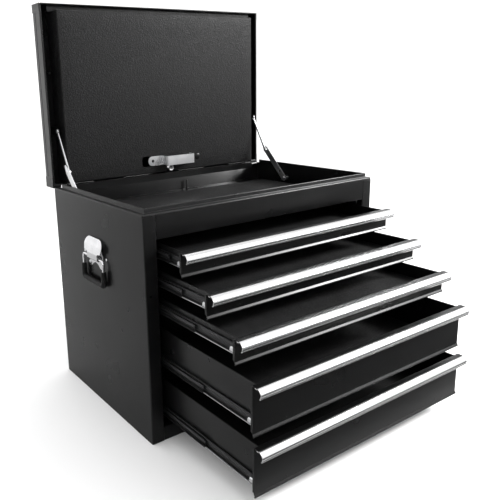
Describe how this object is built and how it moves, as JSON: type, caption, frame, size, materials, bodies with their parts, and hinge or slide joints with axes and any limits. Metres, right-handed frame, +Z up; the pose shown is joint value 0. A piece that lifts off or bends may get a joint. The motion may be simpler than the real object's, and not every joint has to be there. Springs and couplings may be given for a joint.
{
  "type": "tool chest",
  "caption": "Sheet-steel top tool chest: lift-up lid with folding stays, full-width drawers on ball-bearing slides, bright extruded pulls, drop handles at the sides.",
  "frame": {"origin": "centre of the cabinet's underside", "axes": "+Z up, -Y the way the drawers open, +X to the right of a person facing the drawers"},
  "size_m": [0.6936, 0.7815, 0.9245],
  "materials": {
    "powder_coat": "satin black powder coat",
    "textured_coat": "black powder coat with a fine hammered texture",
    "pull_aluminium": "bright satin anodised",
    "zinc_plate": "bright zinc plate",
    "black_zinc": "black zinc plate, rolled",
    "chrome_plate": "nickel-chrome plate",
    "grip_plastic": "moulded black vinyl",
    "mat_rubber": "ribbed dark grey liner"
  },
  "bodies": {
    "cabinet": {"left_side_panel": "powder_coat", "right_side_panel": "powder_coat", "back_panel": "powder_coat", "bottom_panel": "powder_coat", "header_rail": "powder_coat", "base_rail": "powder_coat", "top_rim": "powder_coat", "compartment_floor": "powder_coat", "compartment_mat": "mat_rubber", "slide_brackets": "zinc_plate", "outer_slide_members": "black_zinc", "handle_plates": "chrome_plate", "hinge_leaf_fixed": "powder_coat", "hinge_pin": "powder_coat"},
    "drawer_1": {"drawer_1_tray": "powder_coat", "drawer_1_front": "powder_coat", "drawer_1_pull": "pull_aluminium", "drawer_1_liner": "mat_rubber", "drawer_1_inner_slides": "black_zinc"},
    "drawer_2": {"drawer_2_tray": "powder_coat", "drawer_2_front": "powder_coat", "drawer_2_pull": "pull_aluminium", "drawer_2_liner": "mat_rubber", "drawer_2_inner_slides": "black_zinc"},
    "drawer_3": {"drawer_3_tray": "powder_coat", "drawer_3_front": "powder_coat", "drawer_3_pull": "pull_aluminium", "drawer_3_liner": "mat_rubber", "drawer_3_inner_slides": "black_zinc"},
    "drawer_4": {"drawer_4_tray": "powder_coat", "drawer_4_front": "powder_coat", "drawer_4_pull": "pull_aluminium", "drawer_4_liner": "mat_rubber", "drawer_4_inner_slides": "black_zinc"},
    "drawer_5": {"drawer_5_tray": "powder_coat", "drawer_5_front": "powder_coat", "drawer_5_pull": "pull_aluminium", "drawer_5_liner": "mat_rubber", "drawer_5_inner_slides": "black_zinc"},
    "middle_slides_1": {"drawer_1_middle_slides": "black_zinc"},
    "middle_slides_2": {"drawer_2_middle_slides": "black_zinc"},
    "middle_slides_3": {"drawer_3_middle_slides": "black_zinc"},
    "middle_slides_4": {"drawer_4_middle_slides": "black_zinc"},
    "middle_slides_5": {"drawer_5_middle_slides": "black_zinc"},
    "lid": {"lid_shell": "powder_coat", "lid_inner_panel": "textured_coat", "lid_strap": "zinc_plate", "lock_barrel": "chrome_plate", "hinge_leaf_moving": "powder_coat"},
    "lock_core": {"lock_plug": "chrome_plate", "lock_cam": "zinc_plate"},
    "left_upper_link": {"left_stay_upper": "zinc_plate"},
    "left_lower_link": {"left_stay_lower": "zinc_plate"},
    "left_handle": {"left_bail": "chrome_plate", "left_grip": "grip_plastic"},
    "right_upper_link": {"right_stay_upper": "zinc_plate"},
    "right_lower_link": {"right_stay_lower": "zinc_plate"},
    "right_handle": {"right_bail": "chrome_plate", "right_grip": "grip_plastic"},
    "lock_bar": {"drawer_lock_bar": "powder_coat"}
  },
  "joints": [
    {"name": "lid_hinge", "type": "hinge", "parent": "cabinet", "child": "lid", "pos_m": [0, 0.217, 0.491], "axis": [1, 0, 0], "range_deg": [0, 90]},
    {"name": "lock_turn", "type": "hinge", "parent": "lid", "child": "lock_core", "pos_m": [0.004, 0.2003, 0.5085], "axis": [0, -1, 0], "range_deg": [0, 90]},
    {"name": "drawer_1_slide", "type": "slide", "parent": "cabinet", "child": "drawer_1", "axis": [0, -1, 0], "range_m": [-0.076, 0.274]},
    {"name": "drawer_2_slide", "type": "slide", "parent": "cabinet", "child": "drawer_2", "axis": [0, -1, 0], "range_m": [-0.154, 0.196]},
    {"name": "drawer_3_slide", "type": "slide", "parent": "cabinet", "child": "drawer_3", "axis": [0, -1, 0], "range_m": [-0.232, 0.118]},
    {"name": "drawer_4_slide", "type": "slide", "parent": "cabinet", "child": "drawer_4", "axis": [0, -1, 0], "range_m": [-0.278, 0.072]},
    {"name": "drawer_5_slide", "type": "slide", "parent": "cabinet", "child": "drawer_5", "axis": [0, -1, 0], "range_m": [-0.282, 0.068]},
    {"name": "middle_slide_1", "type": "slide", "parent": "cabinet", "child": "middle_slides_1", "axis": [0, -1, 0], "range_m": [-0.038, 0.137]},
    {"name": "middle_slide_2", "type": "slide", "parent": "cabinet", "child": "middle_slides_2", "axis": [0, -1, 0], "range_m": [-0.077, 0.098]},
    {"name": "middle_slide_3", "type": "slide", "parent": "cabinet", "child": "middle_slides_3", "axis": [0, -1, 0], "range_m": [-0.116, 0.059]},
    {"name": "middle_slide_4", "type": "slide", "parent": "cabinet", "child": "middle_slides_4", "axis": [0, -1, 0], "range_m": [-0.139, 0.036]},
    {"name": "middle_slide_5", "type": "slide", "parent": "cabinet", "child": "middle_slides_5", "axis": [0, -1, 0], "range_m": [-0.141, 0.034]},
    {"name": "left_stay_upper_pivot", "type": "hinge", "parent": "lid", "child": "left_upper_link", "pos_m": [-0.311, 0.212, 0.627], "axis": [1, 0, 0], "range_deg": [0, 18.8]},
    {"name": "left_stay_lower_pivot", "type": "hinge", "parent": "cabinet", "child": "left_lower_link", "pos_m": [-0.315, 0.082, 0.458], "axis": [1, 0, 0], "range_deg": [-41.55, 0]},
    {"name": "right_stay_upper_pivot", "type": "hinge", "parent": "lid", "child": "right_upper_link", "pos_m": [0.311, 0.212, 0.627], "axis": [1, 0, 0], "range_deg": [0, 18.8]},
    {"name": "right_stay_lower_pivot", "type": "hinge", "parent": "cabinet", "child": "right_lower_link", "pos_m": [0.315, 0.082, 0.458], "axis": [1, 0, 0], "range_deg": [-41.55, 0]},
    {"name": "lock_bar_lift", "type": "slide", "parent": "cabinet", "child": "lock_bar", "axis": [0, 0, 1], "range_m": [-0.0101, 0]},
    {"name": "left_handle_swing", "type": "hinge", "parent": "cabinet", "child": "left_handle", "pos_m": [-0.338, 0, 0.362], "axis": [0, 1, 0], "range_deg": [0, 100]},
    {"name": "right_handle_swing", "type": "hinge", "parent": "cabinet", "child": "right_handle", "pos_m": [0.338, 0, 0.362], "axis": [0, -1, 0], "range_deg": [0, 100]}
  ],
  "couplings": [
    {"joint": "middle_slide_1", "follows": "drawer_1_slide", "ratio": 0.5},
    {"joint": "middle_slide_2", "follows": "drawer_2_slide", "ratio": 0.5},
    {"joint": "middle_slide_3", "follows": "drawer_3_slide", "ratio": 0.5},
    {"joint": "middle_slide_4", "follows": "drawer_4_slide", "ratio": 0.5},
    {"joint": "middle_slide_5", "follows": "drawer_5_slide", "ratio": 0.5},
    {"joint": "left_stay_upper_pivot", "follows": "lid_hinge", "ratio": 0.20878},
    {"joint": "left_stay_lower_pivot", "follows": "lid_hinge", "ratio": -0.46161},
    {"joint": "right_stay_upper_pivot", "follows": "lid_hinge", "ratio": 0.20878},
    {"joint": "right_stay_lower_pivot", "follows": "lid_hinge", "ratio": -0.46161},
    {"joint": "lock_bar_lift", "follows": "lid_hinge", "m_per_rad": -0.0063662}
  ]
}
